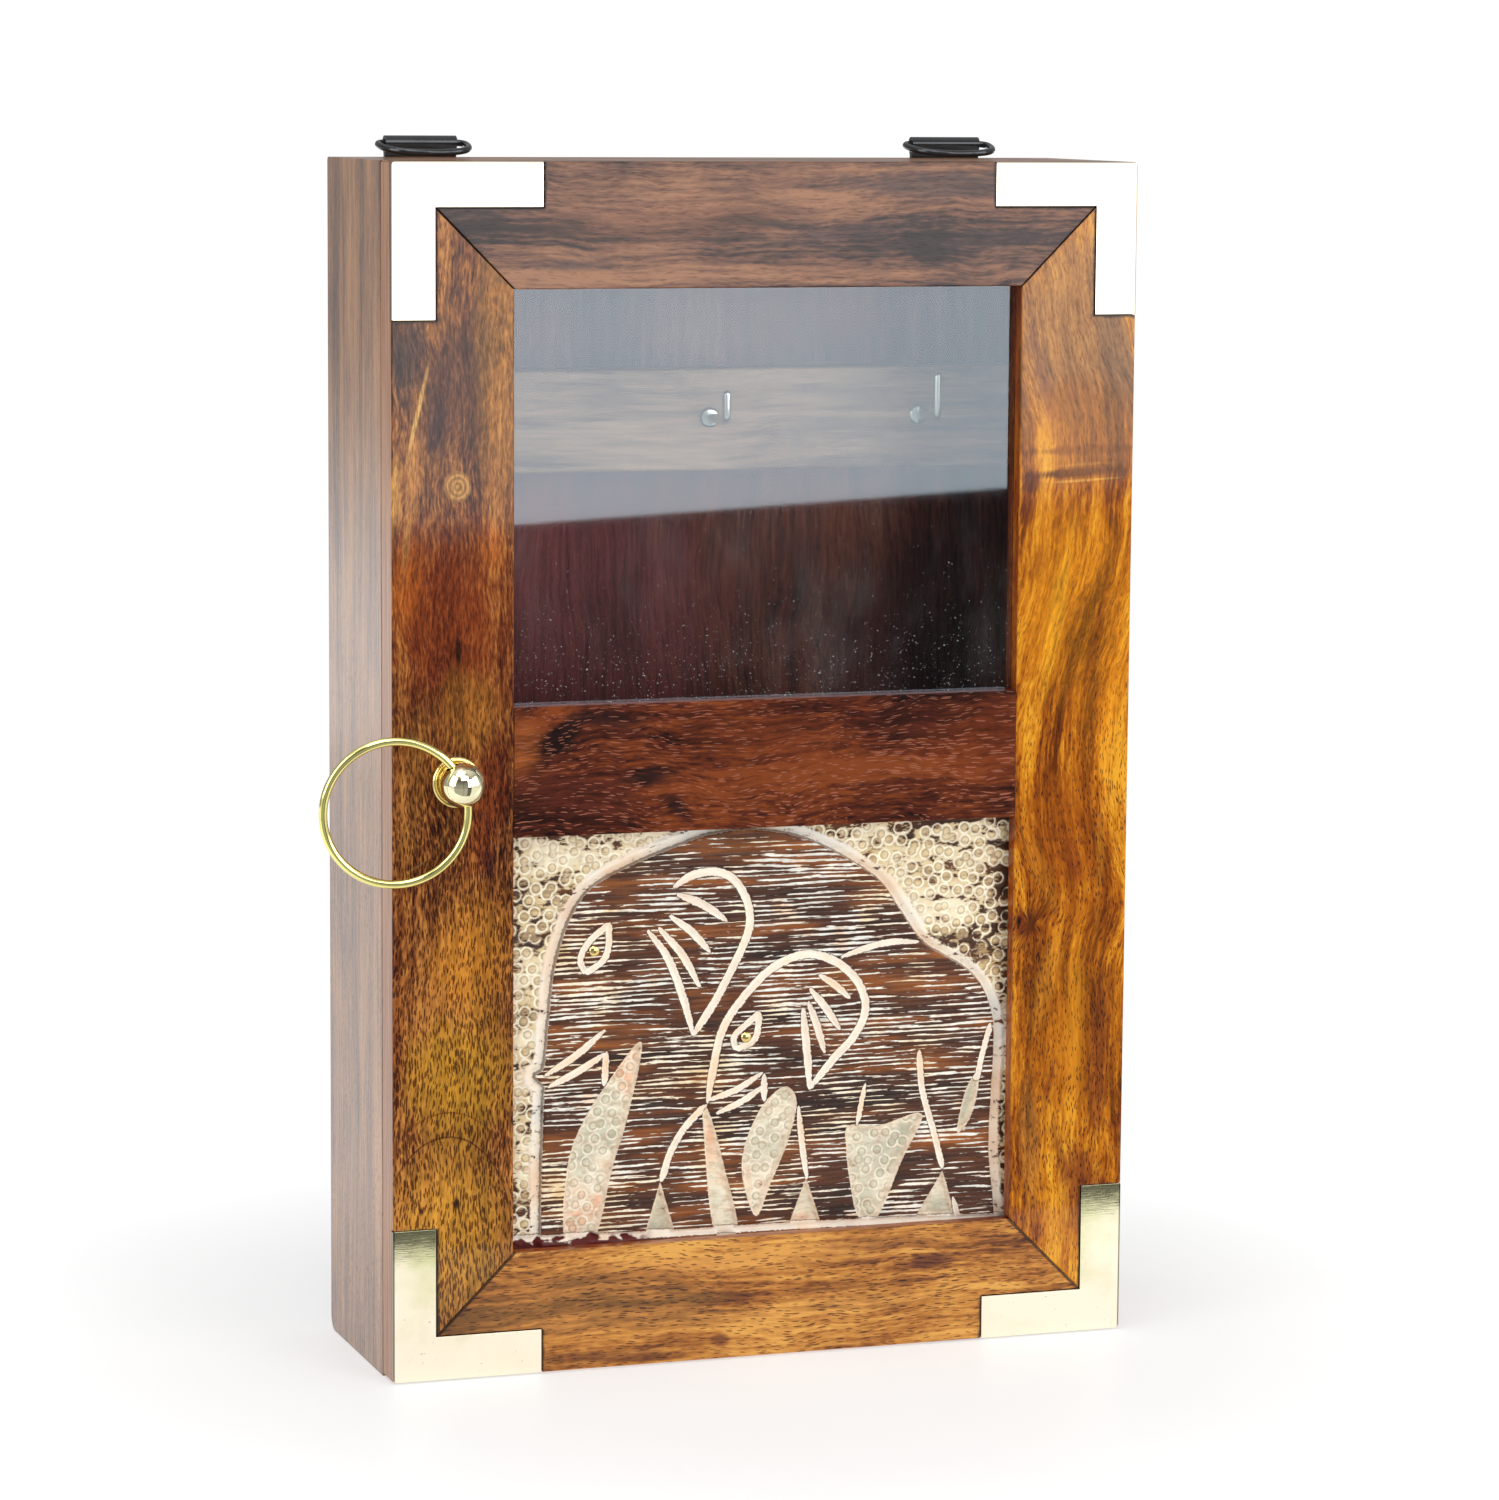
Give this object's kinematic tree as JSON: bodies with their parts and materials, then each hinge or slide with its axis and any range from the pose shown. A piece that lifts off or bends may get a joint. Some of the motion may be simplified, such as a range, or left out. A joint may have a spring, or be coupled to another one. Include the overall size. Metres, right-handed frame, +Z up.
{
  "type": "key cabinet",
  "caption": "Wall-hung wooden key cabinet: a shallow case with key hooks behind a hinged door with a glass light, a carved panel, brass corners and a swivelling ring pull.",
  "frame": {"origin": "centre of the underside of the closed cabinet, on the surface it stands on", "axes": "+Z up, the door faces -Y and the wall side +Y, +X towards the hinges"},
  "size_m": [0.2236, 0.0796, 0.3155],
  "materials": {
    "door_wood": "glossy lacquered rosewood with dark and orange figure",
    "case_wood": "satin lacquered rosewood, straight grain",
    "back_wood": "stained reddish brown, dull",
    "rail_wood": "satin, lighter brown",
    "carved_wood": "distressed ivory paint over dark brown wood",
    "glass": "clear, polished",
    "brass": "polished, lightly scratched",
    "nickel_wire": "bright nickel plate",
    "black_steel": "semi-gloss black",
    "zinc_steel": "zinc plated",
    "catch_plastic": "matt off-white"
  },
  "bodies": {
    "case": {"case_left_side": "case_wood", "case_right_side": "case_wood", "case_top": "case_wood", "case_bottom": "case_wood", "back_panel": "back_wood", "key_rail": "rail_wood", "key_hook_left": "nickel_wire", "key_hook_middle": "nickel_wire", "key_hook_right": "nickel_wire", "hinge_lower_case_leaf": "brass", "hinge_upper_case_leaf": "brass", "hinge_lower_pin": "brass", "hinge_upper_pin": "brass", "hinge_lower_case_screw_bottom": "brass", "hinge_lower_case_screw_top": "brass", "hinge_upper_case_screw_bottom": "brass", "hinge_upper_case_screw_top": "brass", "catch_housing": "catch_plastic", "catch_magnet": "black_steel", "catch_screw_bottom": "zinc_steel", "catch_screw_top": "zinc_steel", "hanger_left_strap": "black_steel", "hanger_right_strap": "black_steel", "hanger_left_screw_left": "black_steel", "hanger_left_screw_right": "black_steel", "hanger_right_screw_left": "black_steel", "hanger_right_screw_right": "black_steel"},
    "door": {"door_left_stile": "door_wood", "door_right_stile": "door_wood", "door_top_rail": "door_wood", "door_bottom_rail": "door_wood", "door_mid_rail": "door_wood", "glass_pane": "glass", "glass_bead_left": "back_wood", "glass_bead_right": "back_wood", "glass_bead_bottom": "back_wood", "glass_bead_top": "back_wood", "carved_panel": "carved_wood", "eye_nail_large": "brass", "eye_nail_small": "brass", "corner_plate_top_left": "brass", "corner_plate_top_right": "brass", "corner_plate_bottom_left": "brass", "corner_plate_bottom_right": "brass", "knob_rosette": "brass", "knob_washer": "brass", "hinge_lower_door_leaf": "brass", "hinge_upper_door_leaf": "brass", "hinge_lower_door_screw_bottom": "brass", "hinge_lower_door_screw_top": "brass", "hinge_upper_door_screw_bottom": "brass", "hinge_upper_door_screw_top": "brass", "catch_strike": "zinc_steel", "strike_screw": "zinc_steel"},
    "knob": {"knob_ball": "brass", "knob_nut": "brass"},
    "pull_ring": {"pull_ring": "brass"},
    "left_d_ring": {"hanger_left_d_ring": "black_steel"},
    "right_d_ring": {"hanger_right_d_ring": "black_steel"}
  },
  "joints": [
    {"name": "door_hinge", "type": "hinge", "parent": "case", "child": "door", "pos_m": [0.1021, -0.02175, 0.155], "axis": [0, 0, 1], "range_deg": [0, 180]},
    {"name": "knob_swivel", "type": "hinge", "parent": "door", "child": "knob", "pos_m": [-0.0836, -0.0392, 0.15475], "axis": [0, -1, 0], "continuous": true},
    {"name": "ring_flap", "type": "hinge", "parent": "knob", "child": "pull_ring", "pos_m": [-0.08442, -0.0392, 0.15442], "axis": [-0.3746, 0, 0.9272], "range_deg": [0, 195]},
    {"name": "left_d_ring_flip", "type": "hinge", "parent": "case", "child": "left_d_ring", "pos_m": [-0.075, 0.0328, 0.3136], "axis": [-1, 0, 0], "range_deg": [0, 265]},
    {"name": "right_d_ring_flip", "type": "hinge", "parent": "case", "child": "right_d_ring", "pos_m": [0.071, 0.0328, 0.3136], "axis": [-1, 0, 0], "range_deg": [0, 265]}
  ]
}
